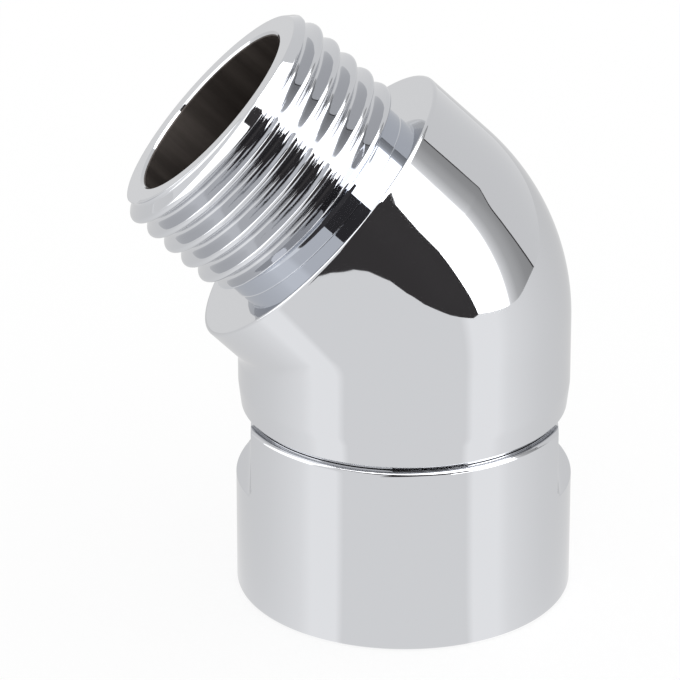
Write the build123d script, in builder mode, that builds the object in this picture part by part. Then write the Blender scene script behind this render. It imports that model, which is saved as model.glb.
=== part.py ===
"""Shower hose elbow adapter with a male stub and a captive swivel nut.

Millimetres, +Z up. The origin is the centre of the nut's lower face, and the
nut axis is Z. The stub leans from the vertical towards -X.
"""

import os
from math import cos, radians, sin, tan

from build123d import *

os.makedirs("parts", exist_ok=True)

# G 1/2 pipe thread, the same on the stub and in the nut
thread_major_radius = 20.955 / 2
thread_minor_radius = 18.631 / 2

# Swivel nut
nut_radius = 13.45
nut_height = 15.3
nut_top_bevel = 0.4
nut_foot_bevel = 0.25
across_flats = 24.35
flat_ledge_height = 9.5
lip_thickness = 2.2
nut_entry_depth = 0.3
nut_entry_length = 1.2
thread_relief_depth = 0.3

# Elbow body outside
body_inset = 0.2
body_edge_bevel = 0.3
seam_gap = 0.4
bend_angle = 46.6
bend_height = 26.1
bend_radius = 7.0
shoulder_reach = 9.4
shoulder_edge_bevel = 0.2

# Male stub
stub_length = 11.6
neck_radius = 9.36
neck_length = 1.45
neck_slope = 0.5
lead_in_depth = 0.9
lead_in_length = 0.9

# Waterway
stub_bore_radius = 7.75
stub_mouth_chamfer = 0.25
tail_bore_radius = 6.0
tail_mouth_chamfer = 0.4

# Tail of the elbow, inside the nut
tail_radius = 8.6
swivel_clearance = 0.08
tail_end_chamfer = 0.4
tail_below_groove = 1.5

# Retaining ring, snapped into the tail's groove under the nut's lip
groove_depth = 0.7
ring_outer_radius = 9.2
ring_height = 1.1
ring_play = 0.15
ring_side_clearance = 0.05
ring_gap_angle = 30.0

# Sealing washer, kept under the tail's end by the nut's thread
washer_thickness = 2.0
washer_bore_radius = 6.4
washer_catch = 0.2
washer_seat_clearance = 0.1

# Heights inside the nut, from the lip down
lip_underside = nut_height - lip_thickness
ring_top = lip_underside - ring_play
ring_underside = ring_top - ring_height
groove_top = ring_top + ring_side_clearance
groove_underside = ring_underside - ring_side_clearance
tail_end = groove_underside - tail_below_groove
washer_top = tail_end - washer_seat_clearance
washer_underside = washer_top - washer_thickness
thread_end = washer_underside - washer_seat_clearance
body_underside = nut_height + seam_gap

# Radii that fit one piece to the next
body_radius = nut_radius - body_inset
lip_bore_radius = tail_radius + swivel_clearance
groove_radius = tail_radius - groove_depth
ring_inner_radius = groove_radius + ring_side_clearance
relief_radius = thread_major_radius + thread_relief_depth
nut_entry_radius = thread_major_radius + nut_entry_depth
washer_radius = thread_minor_radius + washer_catch
rim_radius = thread_major_radius - lead_in_depth

# Stations along the stub's axis, from the point where it meets the nut's axis
turn = radians(bend_angle)
bend_end = bend_radius * tan(turn / 2)
neck_end = shoulder_reach + neck_length
crest_start = neck_end + neck_slope
rim_reach = shoulder_reach + stub_length
lead_in_start = rim_reach - lead_in_length
bend_start_height = bend_height - bend_end

# In the stub's section plane, x is the radius and y runs along the stub's axis
bend_corner = (0, 0, bend_height)
stub_outward = (cos(turn), 0, sin(turn))
stub_direction = (-sin(turn), 0, cos(turn))
stub_axis = Axis(bend_corner, stub_direction)
stub_section = Plane(origin=bend_corner, x_dir=stub_outward, z_dir=(0, -1, 0))


with BuildPart() as elbow_body:
    # Lower barrel and tail, with the ring groove
    with BuildSketch(Plane.XZ):
        with BuildLine():
            Polyline(
                (0, bend_start_height),
                (body_radius, bend_start_height),
                (body_radius, body_underside),
                (tail_radius, body_underside),
                (tail_radius, groove_top),
                (groove_radius, groove_top),
                (groove_radius, groove_underside),
                (tail_radius, groove_underside),
                (tail_radius, tail_end),
                (0, tail_end),
                close=True,
            )
        make_face()
        chamfer(vertices().sort_by_distance((body_radius, body_underside))[0], body_edge_bevel)
        chamfer(vertices().sort_by_distance((tail_radius, tail_end))[0], tail_end_chamfer)
    revolve(axis=Axis.Z)

    # Outer side of the bend: what lies beyond the bend's own axis, turned about it
    with BuildSketch(Plane.XY.offset(bend_start_height)):
        Circle(body_radius)
        with Locations((-bend_radius, 0)):
            Rectangle(body_radius, 2 * body_radius, align=(Align.MAX, Align.CENTER), mode=Mode.SUBTRACT)
    revolve(axis=Axis((-bend_radius, 0, bend_start_height), (0, -1, 0)), revolution_arc=bend_angle)

    # Upper barrel, shoulder, neck and stub
    with BuildSketch(stub_section):
        with BuildLine():
            Polyline(
                (0, bend_end),
                (body_radius, bend_end),
                (body_radius, shoulder_reach),
                (neck_radius, shoulder_reach),
                (neck_radius, neck_end),
                (thread_major_radius, crest_start),
                (thread_major_radius, lead_in_start),
                (rim_radius, rim_reach),
                (0, rim_reach),
                close=True,
            )
        make_face()
        chamfer(vertices().sort_by_distance((body_radius, shoulder_reach))[0], shoulder_edge_bevel)
    revolve(axis=stub_axis)

    # Waterway: two straight bores that meet in a ball at the bend
    with BuildSketch(Plane.XZ):
        with BuildLine():
            Polyline(
                (0, tail_end),
                (tail_bore_radius + tail_mouth_chamfer, tail_end),
                (tail_bore_radius, tail_end + tail_mouth_chamfer),
                (tail_bore_radius, bend_height),
                (0, bend_height),
                close=True,
            )
        make_face()
    revolve(axis=Axis.Z, mode=Mode.SUBTRACT)
    with BuildSketch(stub_section):
        with BuildLine():
            ball_edge = JernArc((0, -stub_bore_radius), (1, 0), stub_bore_radius, 90)
            Polyline(
                ball_edge @ 1,
                (stub_bore_radius, rim_reach - stub_mouth_chamfer),
                (stub_bore_radius + stub_mouth_chamfer, rim_reach),
                (0, rim_reach),
                ball_edge @ 0,
            )
        make_face()
    revolve(axis=stub_axis, mode=Mode.SUBTRACT)


with BuildPart() as swivel_nut:
    # Turned shape: threaded bore, relief above it and the lip that holds the tail
    with BuildSketch(Plane.XZ):
        with BuildLine():
            Polyline(
                (nut_entry_radius, 0),
                (nut_radius, 0),
                (nut_radius, nut_height),
                (lip_bore_radius, nut_height),
                (lip_bore_radius, lip_underside),
                (relief_radius, lip_underside),
                (relief_radius, thread_end),
                (thread_minor_radius, thread_end),
                (thread_minor_radius, nut_entry_length),
                close=True,
            )
        make_face()
        chamfer(vertices().sort_by_distance((nut_radius, nut_height))[0], nut_top_bevel)
        chamfer(vertices().sort_by_distance((nut_radius, 0))[0], nut_foot_bevel)
    revolve(axis=Axis.Z)

    # Two wrench flats, milled from the top down to a ledge
    with BuildSketch(Plane.XY.offset(flat_ledge_height)):
        Circle(2 * nut_radius)
        Rectangle(across_flats, 4 * nut_radius, mode=Mode.SUBTRACT)
    extrude(amount=nut_height - flat_ledge_height, mode=Mode.SUBTRACT)


with BuildPart() as retaining_ring:
    # Split ring; its gap faces away from the stub
    gap_reach = 2 * ring_outer_radius
    gap_half_width = gap_reach * tan(radians(ring_gap_angle / 2))
    with BuildSketch(Plane.XY.offset(ring_underside)):
        Circle(ring_outer_radius)
        Circle(ring_inner_radius, mode=Mode.SUBTRACT)
        with BuildLine():
            Polyline((0, 0), (gap_reach, gap_half_width), (gap_reach, -gap_half_width), close=True)
        make_face(mode=Mode.SUBTRACT)
    extrude(amount=ring_height)


with BuildPart() as sealing_washer:
    with BuildSketch(Plane.XY.offset(washer_underside)):
        Circle(washer_radius)
        Circle(washer_bore_radius, mode=Mode.SUBTRACT)
    extrude(amount=washer_thickness)


elbow_body.part.label = "elbow_body"
swivel_nut.part.label = "swivel_nut"
retaining_ring.part.label = "retaining_ring"
sealing_washer.part.label = "sealing_washer"

export_step(elbow_body.part, "parts/elbow_body.step")
export_step(swivel_nut.part, "parts/swivel_nut.step")
export_step(retaining_ring.part, "parts/retaining_ring.step")
export_step(sealing_washer.part, "parts/sealing_washer.step")
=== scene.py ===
import math

import bmesh
import bpy
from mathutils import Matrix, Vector


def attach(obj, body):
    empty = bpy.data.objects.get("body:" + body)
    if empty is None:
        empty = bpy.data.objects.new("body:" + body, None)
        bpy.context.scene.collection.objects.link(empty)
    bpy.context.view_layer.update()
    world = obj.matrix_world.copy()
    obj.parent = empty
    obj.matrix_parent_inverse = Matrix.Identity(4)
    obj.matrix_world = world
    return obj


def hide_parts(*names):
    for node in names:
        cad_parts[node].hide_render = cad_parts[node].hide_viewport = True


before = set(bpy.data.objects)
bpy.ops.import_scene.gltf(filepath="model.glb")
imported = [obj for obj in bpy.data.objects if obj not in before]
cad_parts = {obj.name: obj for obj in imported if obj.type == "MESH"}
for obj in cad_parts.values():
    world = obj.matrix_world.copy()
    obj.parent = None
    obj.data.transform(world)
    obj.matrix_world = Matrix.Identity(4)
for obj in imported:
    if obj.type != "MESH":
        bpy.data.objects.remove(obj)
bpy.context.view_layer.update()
mm = 0.001

# Camera: in front of the elbow and a little above it, with a long lens
shot = {"target": (-5.113 * mm, 0, 20.8 * mm), "distance": 412.97 * mm, "elevation": 24.42, "lens": 274.73}

cameraData = bpy.data.cameras.new("photoCamera")
cameraData.lens = shot["lens"]
cameraData.sensor_width = 36
cameraData.clip_start = 0.01
camera = bpy.data.objects.new("photoCamera", cameraData)
bpy.context.scene.collection.objects.link(camera)
tilt = math.radians(shot["elevation"])
sight = Vector((0, -math.cos(tilt), math.sin(tilt)))
camera.location = Vector(shot["target"]) + sight * shot["distance"]
camera.rotation_euler = (math.pi / 2 - tilt, 0, 0)
bpy.context.scene.camera = camera
bpy.context.scene.view_settings.view_transform = "Standard"
print("camera set")


# Small helpers for shader and geometry trees

def addNode(tree, kind, x, y, **settings):
    node = tree.nodes.new(kind)
    node.location = (x, y)
    for name, value in settings.items():
        setattr(node, name, value)
    return node


def feed(tree, socket, value):
    if isinstance(value, bpy.types.NodeSocket):
        tree.links.new(value, socket)
    else:
        socket.default_value = value


def calc(tree, operation, *values, x=0, y=0):
    node = addNode(tree, "ShaderNodeMath", x, y, operation=operation)
    for socket, value in zip(node.inputs, values):
        feed(tree, socket, value)
    return node.outputs[0]


def diagonal(tree, first, second, x, y):
    # root of the sum of two squares
    squares = calc(tree, "ADD", calc(tree, "MULTIPLY", first, first, x=x, y=y),
                   calc(tree, "MULTIPLY", second, second, x=x, y=y - 150), x=x + 200, y=y)
    return calc(tree, "SQRT", squares, x=x + 400, y=y)


def splitAxes(tree, vector, x, y):
    split = addNode(tree, "ShaderNodeSeparateXYZ", x, y)
    tree.links.new(vector, split.inputs[0])
    return split.outputs


def joinAxes(tree, values, x, y):
    joined = addNode(tree, "ShaderNodeCombineXYZ", x, y)
    for socket, value in zip(joined.inputs, values):
        feed(tree, socket, value)
    return joined.outputs[0]


# Finishes of the pieces

def newMaterial(name, baseColor, metallic, roughness):
    material = bpy.data.materials.new(name)
    material.use_nodes = True
    shader = material.node_tree.nodes["Principled BSDF"]
    shader.inputs["Base Color"].default_value = (*baseColor, 1)
    shader.inputs["Metallic"].default_value = metallic
    shader.inputs["Roughness"].default_value = roughness
    return material, material.node_tree, shader


def addNoise(tree, vector, scale, detail, x, y):
    noise = addNode(tree, "ShaderNodeTexNoise", x, y)
    noise.inputs["Scale"].default_value = scale
    noise.inputs["Detail"].default_value = detail
    tree.links.new(vector, noise.inputs["Vector"])
    return noise.outputs["Fac"]


def varyRoughness(tree, shader, noise, low, high):
    spread = addNode(tree, "ShaderNodeMapRange", -300, 100)
    spread.inputs["To Min"].default_value = low
    spread.inputs["To Max"].default_value = high
    tree.links.new(noise, spread.inputs["Value"])
    tree.links.new(spread.outputs[0], shader.inputs["Roughness"])


def varyColor(tree, shader, level, stops):
    # two stops, each a position and a colour
    ramp = addNode(tree, "ShaderNodeValToRGB", -300, 400)
    for element, (position, color) in zip(ramp.color_ramp.elements, stops):
        element.position = position
        element.color = (*color, 1)
    tree.links.new(level, ramp.inputs["Fac"])
    tree.links.new(ramp.outputs["Color"], shader.inputs["Base Color"])


def addBump(tree, shader, height, strength, distance):
    bump = addNode(tree, "ShaderNodeBump", -300, -250)
    bump.inputs["Strength"].default_value = strength
    bump.inputs["Distance"].default_value = distance
    tree.links.new(height, bump.inputs["Height"])
    tree.links.new(bump.outputs["Normal"], shader.inputs["Normal"])


def objectPlace(tree, x, y):
    return addNode(tree, "ShaderNodeTexCoord", x, y).outputs["Object"]


def makePolishedChrome():
    # mirror plating: a faint haze that changes slowly, and a ripple too low to see on its own
    material, tree, shader = newMaterial("polishedChrome", (0.605, 0.613, 0.634), 1, 0.02)
    place = objectPlace(tree, -1100, 0)
    haze = addNoise(tree, place, 140, 3, -850, 100)
    varyRoughness(tree, shader, haze, 0.012, 0.04)
    ripple = addNoise(tree, place, 420, 2, -850, -250)
    addBump(tree, shader, ripple, 0.05, 0.02 * mm)
    return material


def turnUpright(tree, lean, cornerHeight, x, y):
    # object coordinates turned so that a leaning bore or thread stands upright about Z
    upright = addNode(tree, "ShaderNodeMapping", x - 200, y)
    upright.inputs["Rotation"].default_value = (0, lean, 0)
    upright.inputs["Location"].default_value = (-cornerHeight * mm * math.sin(lean), 0,
                                                -cornerHeight * mm * math.cos(lean))
    tree.links.new(objectPlace(tree, x - 400, y), upright.inputs["Vector"])
    return splitAxes(tree, upright.outputs[0], x, y)


def makeThreadChrome(name, lean, cornerHeight, neckFrom, neckTo):
    # plating over a cut thread: the cutter's fine lines run round it, and below neckFrom it is bluer
    material, tree, shader = newMaterial(name, (0.6, 0.61, 0.635), 1, 0.04)
    across, deep, along = turnUpright(tree, lean, cornerHeight, -1500, 0)
    roundTurn = 0.5 * mm      # stands for one radian, so short that the lines stretch round the thread
    turn = calc(tree, "MULTIPLY", calc(tree, "ARCTAN2", deep, across, x=-1300, y=200), roundTurn,
                x=-1100, y=200)
    reach = diagonal(tree, across, deep, -1300, 0)
    lines = joinAxes(tree, (turn, reach, along), -700, 100)
    streaks = addNoise(tree, lines, 4500, 3, -500, 100)
    varyRoughness(tree, shader, streaks, 0.015, 0.05)
    addBump(tree, shader, streaks, 0.25, 0.002 * mm)
    plating = addNode(tree, "ShaderNodeMapRange", -900, 400)
    feed(tree, plating.inputs["Value"], along)
    plating.inputs["From Min"].default_value = neckFrom * mm
    plating.inputs["From Max"].default_value = neckTo * mm
    varyColor(tree, shader, plating.outputs[0], [(0, (0.56, 0.59, 0.65)), (1, (0.6, 0.61, 0.635))])
    return material


def makeBoreMetalAndShade(lean, cornerHeight):
    # inside of the waterway: dull brown metal, painted much darker as the deep bore's shade, with marks drawn
    # along the bore
    material, tree, shader = newMaterial("boreMetalAndShade", (0.07, 0.058, 0.05), 0.5, 0.42)
    across, deep, along = turnUpright(tree, lean, cornerHeight, -1300, 0)
    drawn = calc(tree, "MULTIPLY", along, 0.08, x=-1200, y=-200)
    stain = addNoise(tree, joinAxes(tree, (across, deep, drawn), -1050, 0), 700, 5, -850, 100)
    # both colours hold painted shade of the deep bore over the metal's own brown tone
    varyColor(tree, shader, stain, [(0.35, (0.046, 0.037, 0.032)), (0.72, (0.095, 0.08, 0.071))])
    addBump(tree, shader, stain, 0.2, 0.02 * mm)
    return material


def makeSpringSteel():
    material, tree, shader = newMaterial("springSteel", (0.42, 0.42, 0.43), 1, 0.3)
    drawn = addNoise(tree, objectPlace(tree, -1100, 0), 900, 4, -850, 100)
    varyRoughness(tree, shader, drawn, 0.22, 0.42)
    return material


def makeWasherRubber():
    material, tree, shader = newMaterial("washerRubber", (0.03, 0.03, 0.032), 0, 0.6)
    bloom = addNoise(tree, objectPlace(tree, -1100, 0), 260, 6, -850, 100)
    varyColor(tree, shader, bloom, [(0.3, (0.022, 0.022, 0.024)), (0.8, (0.05, 0.05, 0.052))])
    addBump(tree, shader, bloom, 0.3, 0.05 * mm)
    return material


polishedChrome = makePolishedChrome()
print("plating made")


# Turned shapes: a profile of corners with roundings becomes rings of points

def turnedProfile(corners):
    # each corner is (radius, height, rounding, longest step on the run that leaves it), in millimetres
    rings = []
    count = len(corners)
    arcs = []
    for index, (radius, height, rounding, step) in enumerate(corners):
        here = Vector((radius, height))
        before = Vector(corners[index - 1][:2])
        after = Vector(corners[(index + 1) % count][:2])
        arrive = (here - before).normalized()
        leave = (after - here).normalized()
        swing = math.acos(max(-1, min(1, arrive.dot(leave))))
        if rounding <= 0 or swing < 0.01:
            arcs.append([here])
            continue
        tangent = rounding * math.tan(swing / 2)
        side = (leave - arrive * leave.dot(arrive)).normalized()
        center = here - arrive * tangent + side * rounding
        pieces = max(2, math.ceil(math.degrees(swing) / 15))      # at most 15 degrees each
        arcs.append([center - side * rounding * math.cos(swing * k / pieces)
                     + arrive * rounding * math.sin(swing * k / pieces) for k in range(pieces + 1)])
    for index, arc in enumerate(arcs):
        rings.extend(arc)
        start = arc[-1]
        end = arcs[(index + 1) % count][0]
        run = (end - start).length
        step = corners[index][3]
        guard = min(0.08, run / 4)      # a short first and last step keep the rounding's shading to itself
        inner = run - 2 * guard
        cuts = max(1, math.ceil(inner / step))
        for k in range(cuts + 1):
            rings.append(start.lerp(end, (guard + inner * k / cuts) / run))
    return rings


def ringMesh(name, rings, angles, radiusAt=None):
    # closed both round the axis and along the profile, so it has no seam and no open edge
    vertices = []
    for row, (radius, height) in enumerate(rings):
        for angle in angles:
            reach = radiusAt(row, radius, angle) if radiusAt else radius
            vertices.append((reach * mm * math.cos(angle), reach * mm * math.sin(angle), height * mm))
    rows = len(rings)
    columns = len(angles)
    faces = []
    for row in range(rows):
        for column in range(columns):
            nextRow = (row + 1) % rows
            nextColumn = (column + 1) % columns
            faces.append((row * columns + column, row * columns + nextColumn,
                          nextRow * columns + nextColumn, nextRow * columns + column))
    mesh = bpy.data.meshes.new(name)
    mesh.from_pydata(vertices, [], faces)
    mesh.update()
    piece = bpy.data.objects.new(name, mesh)
    bpy.context.scene.collection.objects.link(piece)
    return piece


# Helpers for geometry trees

def newGeometryTree(name, inputs):
    # inputs are (name, kind, value where the piece gives none)
    tree = bpy.data.node_groups.new(name, "GeometryNodeTree")
    tree.is_modifier = True
    tree.interface.new_socket(name="Geometry", in_out="INPUT", socket_type="NodeSocketGeometry")
    tree.interface.new_socket(name="Geometry", in_out="OUTPUT", socket_type="NodeSocketGeometry")
    for label, kind, value in inputs:
        socket = tree.interface.new_socket(name=label, in_out="INPUT", socket_type="NodeSocket" + kind)
        if value is not None:
            socket.default_value = value
    return tree


def compare(tree, operation, value, limit, x, y):
    node = addNode(tree, "FunctionNodeCompare", x, y, data_type="FLOAT", operation=operation)
    feed(tree, node.inputs[0], value)
    feed(tree, node.inputs[1], limit)
    return node.outputs[0]


def both(tree, first, second, x, y):
    node = addNode(tree, "FunctionNodeBooleanMath", x, y, operation="AND")
    feed(tree, node.inputs[0], first)
    feed(tree, node.inputs[1], second)
    return node.outputs[0]


def within(tree, value, low, high, x, y):
    return both(tree, compare(tree, "GREATER_EQUAL", value, low, x, y),
                compare(tree, "LESS_EQUAL", value, high, x, y + 200), x + 200, y + 100)


def movePoints(tree, geometry, selection, position, x, y):
    node = addNode(tree, "GeometryNodeSetPosition", x, y)
    feed(tree, node.inputs["Geometry"], geometry)
    feed(tree, node.inputs["Selection"], selection)
    feed(tree, node.inputs["Position"], position)
    return node.outputs["Geometry"]


def setFinish(tree, geometry, selection, finish, x, y):
    node = addNode(tree, "GeometryNodeSetMaterial", x, y)
    feed(tree, node.inputs["Geometry"], geometry)
    feed(tree, node.inputs["Selection"], selection)
    feed(tree, node.inputs["Material"], finish)
    return node.outputs["Geometry"]


def realized(tree, geometry, x, y):
    node = addNode(tree, "GeometryNodeRealizeInstances", x, y)
    feed(tree, node.inputs["Geometry"], geometry)
    return node.outputs["Geometry"]


# Screw thread: cuts a Whitworth form into whatever wall lies in its way
def makeThreadTree():
    tree = newGeometryTree("cutThread", [
        ("Inside", "Bool", None), ("Major Radius", "Float", None), ("Minor Radius", "Float", None),
        ("Pitch", "Float", None), ("Crest Rounding", "Float", 0.249 * mm), ("Start", "Float", None),
        ("End", "Float", None), ("Crest At", "Float", None), ("Neck Radius", "Float", 9.3155 * mm),
        ("Run Out", "Float", 1 * mm), ("Finish", "Material", None), ("Finish From", "Float", None),
        ("Finish To", "Float", None),
    ])
    halfAngle = math.radians(27.5)
    given = addNode(tree, "NodeGroupInput", -2400, 0)
    final = addNode(tree, "NodeGroupOutput", 2600, 0)
    where = given.outputs

    position = addNode(tree, "GeometryNodeInputPosition", -2400, -500)
    across, deep, along = splitAxes(tree, position.outputs[0], -2200, -500)
    turn = calc(tree, "ARCTAN2", deep, across, x=-2000, y=-300)
    reach = diagonal(tree, across, deep, -2000, -500)

    # distance along the axis from the nearest crest of the helix
    climb = calc(tree, "MULTIPLY", calc(tree, "DIVIDE", turn, 2 * math.pi, x=-1800, y=-300),
                 where["Pitch"], x=-1600, y=-300)
    fromCrest = calc(tree, "SUBTRACT", calc(tree, "SUBTRACT", along, where["Crest At"], x=-1600, y=-100),
                     climb, x=-1400, y=-200)
    halfPitch = calc(tree, "MULTIPLY", where["Pitch"], 0.5, x=-1600, y=100)
    away = calc(tree, "PINGPONG", fromCrest, halfPitch, x=-1200, y=-200)

    # rounded crest, straight flank, rounded root; a rounding reaches to where its slope is the flank's
    rounding = where["Crest Rounding"]
    lobe = calc(tree, "MULTIPLY", rounding, math.cos(halfAngle), x=-1400, y=200)
    square = calc(tree, "MULTIPLY", rounding, rounding, x=-1400, y=350)

    def arcHeight(side, x, y):
        # how far the rounding's circle stands over its centre, this far to the side
        rest = calc(tree, "SUBTRACT", square, calc(tree, "MULTIPLY", side, side, x=x, y=y), x=x + 200, y=y)
        return calc(tree, "SQRT", rest, x=x + 400, y=y)

    onCrest = calc(tree, "MINIMUM", away, lobe, x=-1000, y=200)
    crestDrop = calc(tree, "SUBTRACT", rounding, arcHeight(onCrest, -800, 250), x=-200, y=250)
    flankWidth = calc(tree, "SUBTRACT", halfPitch, calc(tree, "MULTIPLY", lobe, 2.0, x=-1200, y=50),
                      x=-1000, y=50)
    pastCrest = calc(tree, "SUBTRACT", away, lobe, x=-1000, y=-100)
    onFlank = calc(tree, "MINIMUM", calc(tree, "MAXIMUM", pastCrest, 0.0, x=-800, y=-100), flankWidth,
                   x=-600, y=-50)
    flankDrop = calc(tree, "MULTIPLY", onFlank, 1 / math.tan(halfAngle), x=-400, y=-50)
    intoRoot = calc(tree, "MAXIMUM", calc(tree, "SUBTRACT", pastCrest, flankWidth, x=-800, y=-300), 0.0,
                    x=-600, y=-300)
    rootSide = calc(tree, "MAXIMUM", calc(tree, "SUBTRACT", lobe, intoRoot, x=-400, y=-300), 0.0,
                    x=-200, y=-300)
    rootDrop = calc(tree, "SUBTRACT", arcHeight(rootSide, 0, -250), arcHeight(lobe, 0, -450), x=600, y=-300)
    drop = calc(tree, "ADD", calc(tree, "ADD", crestDrop, flankDrop, x=0, y=100), rootDrop, x=800, y=0)
    form = calc(tree, "SUBTRACT", where["Major Radius"], drop, x=1000, y=0)

    # the cutter runs out towards the neck
    floorAt = addNode(tree, "ShaderNodeMapRange", 800, -600, interpolation_type="SMOOTHSTEP")
    feed(tree, floorAt.inputs["Value"], along)
    feed(tree, floorAt.inputs["From Min"], where["Start"])
    feed(tree, floorAt.inputs["From Max"], calc(tree, "ADD", where["Start"], where["Run Out"], x=600, y=-700))
    feed(tree, floorAt.inputs["To Min"], where["Neck Radius"])
    feed(tree, floorAt.inputs["To Max"], where["Minor Radius"])
    wall = calc(tree, "MAXIMUM", form, floorAt.outputs[0], x=1200, y=-100)
    pick = addNode(tree, "GeometryNodeSwitch", 1600, -100, input_type="FLOAT")
    feed(tree, pick.inputs["Switch"], where["Inside"])
    feed(tree, pick.inputs["False"], calc(tree, "MINIMUM", reach, wall, x=1400, y=0))
    feed(tree, pick.inputs["True"], calc(tree, "MAXIMUM", reach, form, x=1400, y=-200))
    share = calc(tree, "DIVIDE", pick.outputs[0], reach, x=1800, y=-100)
    moved = joinAxes(tree, (calc(tree, "MULTIPLY", across, share, x=1900, y=-300),
                            calc(tree, "MULTIPLY", deep, share, x=1900, y=-450), along), 2000, -200)
    inZone = within(tree, along, where["Start"], where["End"], 1400, 400)
    placed = movePoints(tree, where["Geometry"], inZone, moved, 2000, 100)

    # the finish goes on the cut wall alone, between the bore and the outside
    floorLimit = calc(tree, "SUBTRACT", where["Minor Radius"], 0.05 * mm, x=1600, y=750)
    crestLimit = calc(tree, "ADD", where["Major Radius"], 0.4 * mm, x=1600, y=950)
    cutWall = both(tree, within(tree, reach, floorLimit, crestLimit, 1800, 700),
                   within(tree, along, where["Finish From"], where["Finish To"], 1800, 1100), 2150, 650)
    finished = setFinish(tree, realized(tree, placed, 2200, 100), cutWall, where["Finish"], 2400, 100)
    feed(tree, final.inputs["Geometry"], finished)
    return tree


# Bend: takes a straight turned piece round the corner. Each line along it turns on its own
# radius, and the lines on the inner side meet in a tight crease.
def makeBendTree():
    tree = newGeometryTree("bendBarrel", [
        ("Angle", "Float", None), ("Radius", "Float", None), ("Corner Height", "Float", None),
        ("Crease Radius", "Float", None), ("Crease Blend", "Float", None), ("Bottom", "Float", None),
        ("Band", "Float", None), ("Top Reach", "Float", None), ("Body Finish", "Material", None),
        ("Bore Finish", "Material", None), ("Bore Radius", "Float", None),
    ])
    given = addNode(tree, "NodeGroupInput", -1800, 0)
    final = addNode(tree, "NodeGroupOutput", 2400, 0)
    where = given.outputs

    position = addNode(tree, "GeometryNodeInputPosition", -1800, -500)
    out, side, height = splitAxes(tree, position.outputs[0], -1600, -500)
    slope = calc(tree, "TANGENT", calc(tree, "MULTIPLY", where["Angle"], 0.5, x=-1600, y=0), x=-1400, y=0)

    # turning radius of this line, never under the crease radius
    plain = calc(tree, "ADD", where["Radius"], out, x=-1400, y=-200)
    gap = calc(tree, "SUBTRACT", plain, where["Crease Radius"], x=-1200, y=-200)
    spread = diagonal(tree, gap, where["Crease Blend"], -1000, -250)
    doubled = calc(tree, "ADD", calc(tree, "ADD", plain, where["Crease Radius"], x=-600, y=-100), spread,
                   x=-400, y=-150)
    radius = calc(tree, "MULTIPLY", doubled, 0.5, x=-200, y=-150)
    inset = calc(tree, "SUBTRACT", out, radius, x=0, y=-150)
    startHeight = calc(tree, "ADD", where["Corner Height"], calc(tree, "MULTIPLY", inset, slope, x=200, y=-50),
                       x=400, y=-50)
    endReach = calc(tree, "MULTIPLY", inset, calc(tree, "MULTIPLY", slope, -1.0, x=200, y=-200), x=400, y=-200)

    # three bands of equal height: up to the turn, the turn itself, and on to the shoulder
    band = calc(tree, "DIVIDE", calc(tree, "SUBTRACT", height, where["Bottom"], x=-1400, y=-600),
                where["Band"], x=-1200, y=-600)

    def bandShare(number, x, y):
        # runs from 0 to 1 through this band
        clamp = addNode(tree, "ShaderNodeClamp", x, y)
        feed(tree, clamp.inputs["Value"], calc(tree, "SUBTRACT", band, number, x=x - 200, y=y))
        return clamp.outputs[0]

    upTo, through, beyond = (bandShare(number, -800, -500 - 150 * number) for number in range(3))
    foot = calc(tree, "MINIMUM", height, where["Bottom"], x=400, y=-450)
    rise = calc(tree, "MULTIPLY", upTo, calc(tree, "SUBTRACT", startHeight, where["Bottom"], x=600, y=-350),
                x=800, y=-350)
    straight = calc(tree, "ADD", foot, rise, x=1000, y=-400)
    bandTop = calc(tree, "ADD", where["Bottom"], calc(tree, "MULTIPLY", where["Band"], 3.0, x=-1000, y=-950),
                   x=-800, y=-950)
    past = calc(tree, "MAXIMUM", calc(tree, "SUBTRACT", height, bandTop, x=-600, y=-950), 0.0, x=-400, y=-950)
    reach = calc(tree, "SUBTRACT", where["Top Reach"], endReach, x=600, y=-700)
    along = calc(tree, "ADD", calc(tree, "MULTIPLY", beyond, reach, x=800, y=-700), past, x=1000, y=-700)
    swing = calc(tree, "MULTIPLY", through, where["Angle"], x=600, y=-900)
    sine = calc(tree, "SINE", swing, x=800, y=-900)
    cosine = calc(tree, "COSINE", swing, x=800, y=-1050)
    onCurveOut = calc(tree, "ADD", inset, calc(tree, "MULTIPLY", radius, cosine, x=1200, y=-200),
                      x=1400, y=-200)
    onCurveUp = calc(tree, "ADD", straight, calc(tree, "MULTIPLY", radius, sine, x=1200, y=-550),
                     x=1400, y=-550)
    movedOut = calc(tree, "SUBTRACT", onCurveOut, calc(tree, "MULTIPLY", along, sine, x=1200, y=-350),
                    x=1600, y=-250)
    movedUp = calc(tree, "ADD", onCurveUp, calc(tree, "MULTIPLY", along, cosine, x=1200, y=-700),
                   x=1600, y=-600)
    moved = joinAxes(tree, (movedOut, side, movedUp), 1800, -300)

    # finishes are told apart on the straight piece, before it is bent
    isBore = compare(tree, "LESS_THAN", diagonal(tree, out, side, 600, 400), where["Bore Radius"], 1200, 400)
    bored = setFinish(tree, where["Geometry"], isBore, where["Bore Finish"], 1400, 200)
    placed = movePoints(tree, bored, True, moved, 1800, 100)
    plainSlot = addNode(tree, "GeometryNodeMaterialSelection", 2000, -100)
    finished = setFinish(tree, realized(tree, placed, 2000, 100), plainSlot.outputs[0], where["Body Finish"],
                         2200, 100)
    feed(tree, final.inputs["Geometry"], finished)
    return tree


def addTree(piece, tree, **values):
    # a value's name is the input's, with _ for each space
    modifier = piece.modifiers.new(tree.name, "NODES")
    modifier.node_group = tree
    identifiers = {item.name: item.identifier for item in tree.interface.items_tree if item.in_out == "INPUT"}
    for name, value in values.items():
        modifier[identifiers[name.replace("_", " ")]] = value


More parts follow.
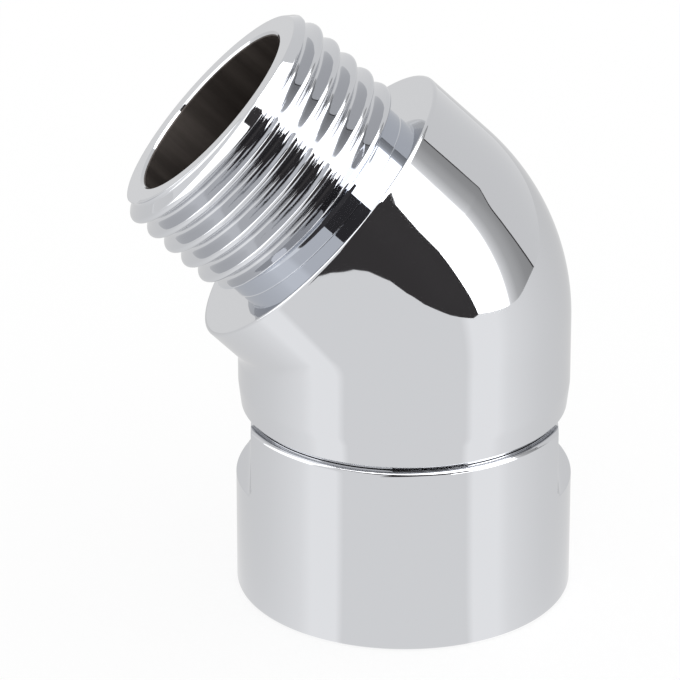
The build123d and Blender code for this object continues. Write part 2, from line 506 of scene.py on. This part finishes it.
def applyTrees(piece, keepName):
    # the evaluated result becomes the piece's own plain mesh
    bpy.context.view_layer.update()
    graph = bpy.context.evaluated_depsgraph_get()
    mesh = bpy.data.meshes.new_from_object(piece.evaluated_get(graph))
    piece.modifiers.clear()
    piece.data = mesh
    mesh.name = keepName
    work = bmesh.new()
    work.from_mesh(mesh)
    bmesh.ops.remove_doubles(work, verts=work.verts, dist=0.0002 * mm)
    work.to_mesh(mesh)
    work.free()
    for polygon in mesh.polygons:
        polygon.use_smooth = True
    mesh.update()


threadTree = makeThreadTree()
bendTree = makeBendTree()
print("trees made")

# Elbow: turned straight, threaded, then bent
elbowSizes = {
    "bodyRadius": 13.25, "bodyUnderside": 15.7, "bodyEdge": 0.16,
    "footDraft": 0.24, "footDraftHeight": 2.0, "footRounding": 4,
    "bossRadius": 12.7, "bossUnderside": 15.48,
    "bendAngle": 46.6, "bendRadius": 7.0, "cornerHeight": 26.1, "creaseRadius": 1.75, "creaseBlend": 0.8,
    "bendBottom": 18.3, "band": 3.0, "bendSteps": 30, "topReach": 7.3,
    "shoulderReach": 9.4, "shoulderEdge": 0.25,
    "neckRadius": 9.36, "neckEnd": 10.85, "crestStart": 11.35,
    "majorRadius": 10.4775, "minorRadius": 9.3155, "pitch": 1.814, "runOut": 1.4, "crestFromRim": 0.36,
    "leadInStart": 20.1, "leadInRounding": 0.4, "rimRadius": 9.5775, "rimReach": 21.0, "rimEdge": 0.15,
    "boreRadius": 7.75, "boreMouth": 0.25, "tailBoreRadius": 6.0, "tailMouth": 0.4,
    # where the two bores meet: shares of a band over the bend's bottom
    "boreMeetHigh": 1.7, "boreMeetMiddle": 0.95, "boreMeetLow": 0.45,
    "boreMeetStep": 1.1, "boreMeetEdge": 1.5,
    "tailRadius": 8.6, "tailEnd": 10.3, "tailEdge": 0.4,
    "grooveRadius": 7.9, "grooveLow": 11.8, "grooveHigh": 13.0, "grooveEdge": 0.06,
    "finishMargin": 0.03, "threadStep": 0.075, "columns": 224,
}


def makeElbow():
    size = elbowSizes
    bottom = size["bendBottom"]
    band = size["band"]
    lift = bottom + 3 * band - size["topReach"]      # a reach along the stub's axis becomes a height
    shoulder = size["shoulderReach"] + lift
    threadStart = size["neckEnd"] + lift
    rim = size["rimReach"] + lift
    body = size["bodyRadius"]
    underside = size["bodyUnderside"]
    bore = size["boreRadius"]
    tailBore = size["tailBoreRadius"]
    mouth = size["boreMouth"]
    edge = size["grooveEdge"]
    lean = math.radians(size["bendAngle"])
    corners = [
        (tailBore + size["tailMouth"], size["tailEnd"], 0.05, 1),
        (size["tailRadius"], size["tailEnd"], size["tailEdge"], 0.6),
        (size["tailRadius"], size["grooveLow"], edge, 0.6),
        (size["grooveRadius"], size["grooveLow"], edge, 0.6),
        (size["grooveRadius"], size["grooveHigh"], edge, 0.6),
        (size["tailRadius"], size["grooveHigh"], edge, 1),
        (size["tailRadius"], size["bossUnderside"], 0.15, 1.5),
        (size["bossRadius"], size["bossUnderside"], 0.04, 0.3),
        (size["bossRadius"], underside, 0.04, 0.3),
        (body - size["footDraft"], underside, size["bodyEdge"], 0.5),
        (body, underside + size["footDraftHeight"], size["footRounding"], 1),
        (body, bottom, 0, 1),
        (body, bottom + band, 0, band / size["bendSteps"]),
        (body, bottom + 2 * band, 0, 1),
        (body, shoulder, size["shoulderEdge"], 1),
        (size["neckRadius"], shoulder, 0.06, 0.5),
        (size["neckRadius"], threadStart, 0.1, 0.1),
        (size["majorRadius"], size["crestStart"] + lift, 0.1, size["threadStep"]),
        (size["majorRadius"], size["leadInStart"] + lift, size["leadInRounding"], size["threadStep"]),
        (size["rimRadius"], rim, size["rimEdge"], 0.6),
        (bore + mouth, rim, 0.08, 0.2),
        (bore, rim - mouth, 0.08, 2),
        (bore, bottom + size["boreMeetHigh"] * band, size["boreMeetEdge"], 0.4),
        (tailBore + size["boreMeetStep"], bottom + size["boreMeetMiddle"] * band, size["boreMeetEdge"], 0.4),
        (tailBore, bottom + size["boreMeetLow"] * band, 1, 2),
        (tailBore, size["tailEnd"] + size["tailMouth"], 0.1, 0.3),
    ]
    angles = [2 * math.pi * k / size["columns"] for k in range(size["columns"])]
    piece = ringMesh("chromeElbow", turnedProfile(corners), angles)
    stubFinish = makeThreadChrome("stubThreadChrome", lean, size["cornerHeight"], size["neckEnd"],
                                  size["crestStart"])
    addTree(piece, threadTree, Inside=False, Major_Radius=size["majorRadius"] * mm,
            Minor_Radius=size["minorRadius"] * mm, Pitch=size["pitch"] * mm,
            Start=threadStart * mm, End=(rim + 0.01) * mm,
            Crest_At=(rim - size["crestFromRim"]) * mm, Neck_Radius=size["neckRadius"] * mm,
            Run_Out=size["runOut"] * mm, Finish=stubFinish,
            Finish_From=(shoulder + size["finishMargin"]) * mm, Finish_To=(rim - size["finishMargin"]) * mm)
    addTree(piece, bendTree, Angle=lean, Radius=size["bendRadius"] * mm,
            Corner_Height=size["cornerHeight"] * mm, Crease_Radius=size["creaseRadius"] * mm,
            Crease_Blend=size["creaseBlend"] * mm, Bottom=bottom * mm, Band=band * mm,
            Top_Reach=size["topReach"] * mm, Body_Finish=polishedChrome,
            Bore_Finish=makeBoreMetalAndShade(lean, size["cornerHeight"]), Bore_Radius=(bore + 0.05) * mm)
    applyTrees(piece, "chromeElbow")
    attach(piece, "elbow")
    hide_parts("elbow_body")
    print("elbow made,", len(piece.data.polygons), "faces")


# Swivel nut: turned, with two wrench flats, threaded inside
nutSizes = {
    "radius": 13.45, "height": 15.44, "topEdge": 0.3, "footEdge": 0.3,
    "flatReach": 12.175, "ledge": 9.5, "ledgeEdge": 0.1, "ledgeCove": 0.6, "flatBlend": 0.04,
    "lipBore": 8.68, "lipUnderside": 13.1, "reliefRadius": 10.7775, "threadEnd": 8.1,
    "minorRadius": 9.3155, "majorRadius": 10.4775, "pitch": 1.814, "threadFrom": 0.02, "crestAt": 0.4,
    "entryRadius": 10.7775, "entryLength": 1.2, "threadStep": 0.085, "columns": 216,
}


def makeNut():
    size = nutSizes
    radius = size["radius"]
    edge = size["ledgeEdge"]
    ledge = size["ledge"]
    reach = size["flatReach"]
    blend = size["flatBlend"]
    coveRadius = size["ledgeCove"]
    hair = 1e-6
    rings = turnedProfile([
        (size["entryRadius"], 0, 0.1, 1),
        (radius, 0, size["footEdge"], 1),
        (radius, ledge - 2 * edge, 0, 1),
        (radius, ledge + 2 * edge, 0, 0.08),
        (radius, ledge + coveRadius + 0.1, 0, 4),
        (radius, size["height"], size["topEdge"], 4),
        (size["lipBore"], size["height"], 0.15, 0.8),
        (size["lipBore"], size["lipUnderside"], 0.08, 1),
        (size["reliefRadius"], size["lipUnderside"], 0.2, 1),
        (size["reliefRadius"], size["threadEnd"], 0.1, 0.1),
        (size["minorRadius"], size["threadEnd"], 0.08, size["threadStep"]),
        (size["minorRadius"], size["entryLength"], 0.1, size["threadStep"]),
    ])

    # between the two plain parts of the wall lie the rings of the ledge under the flats,
    # as (share of the flat's depth, height in ledge edges)
    def firstOver(height):
        return next(k for k, ring in enumerate(rings) if ring.x > radius - hair and ring.y > height - hair)

    low = firstOver(ledge - 2 * edge)
    high = firstOver(ledge + 2 * edge)
    steps = [(0, -1.0), (0.006, -0.6), (0.03, -0.25), (0.075, -0.05), (0.12, -0.02), (0.5, 0.0),
             (0.88, 0.02), (0.925, 0.05), (0.97, 0.25), (0.994, 0.6), (1, 1.0)]
    cut = [0.0] * (low + 1) + [share for share, rise in steps] + [1.0] * (len(rings) - high)
    rings[low + 1:high] = [Vector((radius, ledge + rise * edge)) for share, rise in steps]

    def flatRadius(row, ringRadius, angle):
        # a round ring's radius where the flats cut it, with a cove over the ledge and softened corners
        if cut[row] == 0 or ringRadius < reach - 0.6:
            return ringRadius
        fromCove = min(max(coveRadius - (rings[row].y - ledge), 0), coveRadius)
        cove = coveRadius - math.sqrt(coveRadius ** 2 - fromCove ** 2)
        chord = (reach + cove) / max(abs(math.cos(angle)), 1e-3)
        near = max(blend - abs(radius - chord), 0) / blend
        wall = min(radius, chord) - near * near * blend / 4
        if cut[row] < 1:
            return radius - cut[row] * (radius - wall)
        near = max(blend - abs(ringRadius - wall), 0) / blend if chord < radius + 0.3 else 0
        return min(ringRadius, wall) - (near * near * blend / 4 if ringRadius < radius - hair else 0)

    # columns are spread evenly, and closer together at the flats' four edges
    edgeAngle = math.acos(reach / radius)
    edges = [edgeAngle, math.pi - edgeAngle, math.pi + edgeAngle, 2 * math.pi - edgeAngle]
    clusters = [a + math.radians(off) for a in edges for off in (-1.1, -0.5, -0.22, 0, 0.22, 0.5, 1.1)]
    evenly = [2 * math.pi * k / size["columns"] for k in range(size["columns"])]
    spread = [a for a in evenly if all(abs(a - b) > math.radians(1.5) for b in edges)]
    piece = ringMesh("chromeNut", rings, sorted(spread + clusters), flatRadius)
    # this thread has no neck, so all of it gets the stub thread's plain colour
    nutFinish = makeThreadChrome("nutThreadChrome", 0, 0, -2, -1)
    threadTo = (size["threadEnd"] + 0.01) * mm
    addTree(piece, threadTree, Inside=True, Major_Radius=size["majorRadius"] * mm,
            Minor_Radius=size["minorRadius"] * mm, Pitch=size["pitch"] * mm,
            Start=size["threadFrom"] * mm, End=threadTo, Crest_At=size["crestAt"] * mm,
            Finish=nutFinish, Finish_From=size["threadFrom"] * mm, Finish_To=threadTo)
    piece.data.materials.append(polishedChrome)
    applyTrees(piece, "chromeNut")
    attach(piece, "nut")
    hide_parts("swivel_nut")
    print("nut made,", len(piece.data.polygons), "faces")


makeElbow()
makeNut()

# The ring and the washer keep their own solids, with finishes of their own
for nodeName, finish in (("retaining_ring", makeSpringSteel()), ("sealing_washer", makeWasherRubber())):
    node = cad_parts[nodeName]
    node.data.materials.clear()
    node.data.materials.append(finish)
print("ring and washer finished")

# Studio: white surroundings, a pale floor, a black flag in front, a large curved lamp screen on the right
# with a pale wall behind it, and a side lamp on the left. Lengths in mm, bearings and elevations in degrees.
studio = {
    "floorRadius": 350, "floorDrop": 0.02, "floorPoints": 96, "floorApex": (1.6, -8.7), "floorLevel": 1.2,
    "bayAngle": 30, "bayWidth": 10, "baySpread": 14, "bayReach": 1050, "shadowShare": 0.22,
    "flagDistance": 60, "flagLevel": 0.054, "flagTint": (1, 0.93, 0.95),
    "screenDistance": 2000, "screenHeight": 20, "screenRows": 85, "screenColumns": 60, "screenFoot": -5,
    "lampTop": 80, "lampLevel": 4.5, "lampLean": 1.3, "leanFrom": 30, "lampRange": 120, "frameWidth": 1.1,
    "wallTop": 64, "wallEnd": 240, "wallLevel": 0.88,
    "sideLampTop": 54, "sideLampStart": -105, "sideLampEnd": -62, "sideLampColumns": 20, "sideLampLevel": 2.2,
}

# Floor as the metal sees it, with painted light and shade: (share of half a turn, level)
paintedFloorLight = [(0, 0.83), (0.232, 0.83), (0.265, 1), (0.37, 1), (0.42, 0.91), (0.49, 0.85), (0.57, 0.79),
              (0.68, 0.73), (0.85, 0.63), (1, 0.62)]

# Lamp screen: (bearing, level)
lampStops = [(40, 4.5), (76, 4.5), (79, 1.1), (81, 0.92), (87, 0.6), (92, 0.53), (98, 0.42), (105, 0.385),
             (112, 0.29)]

# Flag, in the plane in front of the object: an arch below, and a band that leans away up to the left
flagOutline = [(-16, 1.5), (-9.5, 8.7), (-3.1, 15.4), (5.4, 23), (9.9, 26), (14.7, 27.8), (18.5, 26.8),
               (23.3, 24.7), (39, 22), (64.2, 19.5), (74, 20.7), (67.7, 31.5), (63, 37.7), (59, 44.5),
               (53.6, 55.4), (54.2, 60), (57.8, 66.3), (68.5, 74.8), (52, 76), (30.5, 77), (17, 91),
               (-30, 154), (-140, 331), (-200, 432), (-330, 700), (-330, 480), (-137, 218), (-8, 40), (-12, 20)]


def studioMaterial(name):
    material = bpy.data.materials.new(name)
    material.use_nodes = True
    tree = material.node_tree
    tree.nodes.clear()
    final = addNode(tree, "ShaderNodeOutputMaterial", 800, 0)
    return material, tree, final


def addGlow(tree, x, y, level, tint=(1, 1, 1)):
    glow = addNode(tree, "ShaderNodeEmission", x, y)
    glow.inputs["Color"].default_value = (*tint, 1)
    glow.inputs["Strength"].default_value = level
    return glow


def makeGlow(name, level, tint=(1, 1, 1)):
    material, tree, final = studioMaterial(name)
    tree.links.new(addGlow(tree, 400, 0, level, tint).outputs[0], final.inputs["Surface"])
    return material


def addLevels(tree, place, stops, x, y):
    # stops are (position, level); the two that a new ramp has are used first
    ramp = addNode(tree, "ShaderNodeValToRGB", x, y)
    elements = ramp.color_ramp.elements
    while len(elements) < len(stops):
        elements.new(1)
    for element, (position, level) in zip(elements, stops):
        element.position = position
        element.color = (level, level, level, 1)
    tree.links.new(place, ramp.inputs["Fac"])
    return ramp.outputs["Color"]


def mixShaders(tree, share, first, second, x, y):
    mixed = addNode(tree, "ShaderNodeMixShader", x, y)
    feed(tree, mixed.inputs["Fac"], share)
    tree.links.new(first, mixed.inputs[1])
    tree.links.new(second, mixed.inputs[2])
    return mixed.outputs[0]


def makeWorld():
    world = bpy.data.worlds.new("whiteRoom")
    bpy.context.scene.world = world
    world.use_nodes = True
    background = world.node_tree.nodes["Background"]
    background.inputs["Color"].default_value = (1, 1, 1, 1)
    background.inputs["Strength"].default_value = 1


def makeFloorMaterial():
    material, tree, final = studioMaterial("paleFloor")
    # the metal sees a floor with painted light and shade: brighter where the lamps at the sides would fall on
    # it, and darker towards the back as painted shade
    out, back = splitAxes(tree, objectPlace(tree, -1600, -200), -1400, -200)[:2]
    apexOut, apexBack = studio["floorApex"]      # the bands on the floor spread from here
    across = calc(tree, "SUBTRACT", calc(tree, "ABSOLUTE", out, x=-1200, y=-100), apexOut * mm,
                  x=-1000, y=-100)
    forward = calc(tree, "SUBTRACT", apexBack * mm, back, x=-1000, y=-300)
    turn = calc(tree, "ARCTAN2", across, forward, x=-800, y=-200)
    bearing = calc(tree, "DIVIDE", turn, math.pi, x=-600, y=-200)
    paintedFloorGlow = addGlow(tree, 0, -200, studio["floorLevel"])
    tree.links.new(addLevels(tree, bearing, paintedFloorLight, -400, -200), paintedFloorGlow.inputs["Color"])
    # to the camera it is white and keeps part of the object's shadow
    white = addGlow(tree, 0, 200, 1)
    matte = addNode(tree, "ShaderNodeBsdfDiffuse", 0, 50)
    matte.inputs["Color"].default_value = (1, 1, 1, 1)
    shaded = mixShaders(tree, studio["shadowShare"], white.outputs[0], matte.outputs[0], 250, 150)
    rays = addNode(tree, "ShaderNodeLightPath", -600, 400)
    mirrored = mixShaders(tree, rays.outputs["Is Glossy Ray"], shaded, paintedFloorGlow.outputs[0], 500, 0)
    tree.links.new(mirrored, final.inputs["Surface"])
    return material


def makeLampMaterial():
    # one lamp behind the screen's near end: white there, and falling off towards the far end
    material, tree, final = studioMaterial("lampScreen")
    out, back, up = splitAxes(tree, objectPlace(tree, -1000, 0), -800, 0)
    forward = calc(tree, "MULTIPLY", back, -1.0, x=-600, y=-100)
    # high up, the lamp's edge leans towards the back
    level = calc(tree, "DIVIDE", up, studio["screenDistance"] * mm, x=-600, y=-300)
    rise = calc(tree, "SUBTRACT", calc(tree, "ARCSINE", level, x=-400, y=-300),
                math.radians(studio["leanFrom"]), x=-200, y=-300)
    lean = calc(tree, "MULTIPLY", calc(tree, "MAXIMUM", rise, 0.0, x=0, y=-300), studio["lampLean"],
                x=200, y=-300)
    turn = calc(tree, "SUBTRACT", calc(tree, "ARCTAN2", out, forward, x=-400, y=0), lean, x=-300, y=0)
    bearing = calc(tree, "DIVIDE", turn, math.radians(studio["lampRange"]), x=-200, y=0)
    lamp = studio["lampLevel"]
    stops = [(degrees / studio["lampRange"], level / lamp) for degrees, level in lampStops]
    glow = addGlow(tree, 400, 0, lamp)
    tree.links.new(addLevels(tree, bearing, stops, 0, 0), glow.inputs["Color"])
    tree.links.new(glow.outputs[0], final.inputs["Surface"])
    return material


def stageMesh(name, vertices, faces, material):
    mesh = bpy.data.meshes.new(name)
    mesh.from_pydata(vertices, [], faces)
    mesh.materials.append(material)
    mesh.update()
    piece = bpy.data.objects.new(name, mesh)
    bpy.context.scene.collection.objects.link(piece)
    return piece


def reflectionOnly(piece):
    piece.visible_camera = False
    piece.visible_diffuse = False
    piece.visible_shadow = False
    piece.visible_transmission = False


def makeFloor():
    # a round floor that reaches farther out on the right, under the lamp screen's far end
    count = studio["floorPoints"]
    rim = []
    for k in range(count):
        angle = 360 * k / count
        fromBay = max(abs((angle - studio["bayAngle"] + 180) % 360 - 180) - studio["bayWidth"], 0)
        radius = studio["floorRadius"] + studio["bayReach"] * math.exp(-(fromBay / studio["baySpread"]) ** 2)
        turn = math.radians(angle)
        rim.append((radius * mm * math.cos(turn), radius * mm * math.sin(turn), -studio["floorDrop"] * mm))
    stageMesh("floor", rim, [tuple(range(count))], makeFloorMaterial())


def makeFlag(finish):
    depth = -studio["flagDistance"] * mm
    vertices = [(x * mm, depth, z * mm) for x, z in flagOutline]
    reflectionOnly(stageMesh("blackFlag", vertices, [tuple(range(len(vertices)))], finish))


def makeScreen(name, nearEnd, farEnd, top, columns, material):
    # part of a far globe round the object: rows by elevation, columns by bearing from the camera's side;
    # each end is a function that gives the bearing at an elevation
    distance = studio["screenDistance"] * mm
    base = studio["screenHeight"] * mm
    foot = studio["screenFoot"]
    rows = studio["screenRows"]
    vertices = []
    for row in range(rows + 1):
        elevation = foot + (top - foot) * row / rows
        level = math.radians(elevation)
        start, end = nearEnd(elevation), farEnd(elevation)
        for column in range(columns + 1):
            bearing = math.radians(start + (end - start) * column / columns)
            vertices.append((distance * math.sin(bearing) * math.cos(level),
                             -distance * math.cos(bearing) * math.cos(level),
                             base + distance * math.sin(level)))
    width = columns + 1
    faces = [(r * width + c, r * width + c + 1, (r + 1) * width + c + 1, (r + 1) * width + c)
             for r in range(rows) for c in range(columns)]
    reflectionOnly(stageMesh(name, vertices, faces, material))


def straightEnd(bearing):
    return lambda elevation: bearing


def lampStart(elevation):
    # high up it draws back to the left, and over 56 degrees it soon runs all the way round
    if elevation < 56:
        return 30 - max(elevation - studio["leanFrom"], 0) * 2.2
    return max(-27 - (elevation - 56) * 20, -180)


def lampEnd(elevation):
    # a bowed edge that bends back above and then leans
    bowed = 100.8 + 8 * ((min(elevation, 20) - 20) / 21) ** 2
    back = min(max((elevation - 22) / 7, 0), 1)
    lean = studio["lampLean"] * max(elevation - studio["leanFrom"], 0)
    return min(bowed + 6.2 * back * back + lean, 200)


def frameStart(elevation):
    # a thin dark frame closes the lamp screen's far end
    return lampEnd(elevation) - studio["frameWidth"]


makeWorld()
makeFloor()
flagFinish = makeGlow("blackFlag", studio["flagLevel"], studio["flagTint"])
makeFlag(flagFinish)
makeScreen("lampScreen", lampStart, frameStart, studio["lampTop"], studio["screenColumns"], makeLampMaterial())
makeScreen("lampFrame", frameStart, lampEnd, studio["lampTop"], 2, flagFinish)
makeScreen("backWall", lampEnd, straightEnd(studio["wallEnd"]), studio["wallTop"], studio["screenColumns"],
           makeGlow("paleWall", studio["wallLevel"]))
makeScreen("sideLamp", straightEnd(studio["sideLampStart"]), straightEnd(studio["sideLampEnd"]),
           studio["sideLampTop"], studio["sideLampColumns"], makeGlow("sideLamp", studio["sideLampLevel"]))
print("studio set")
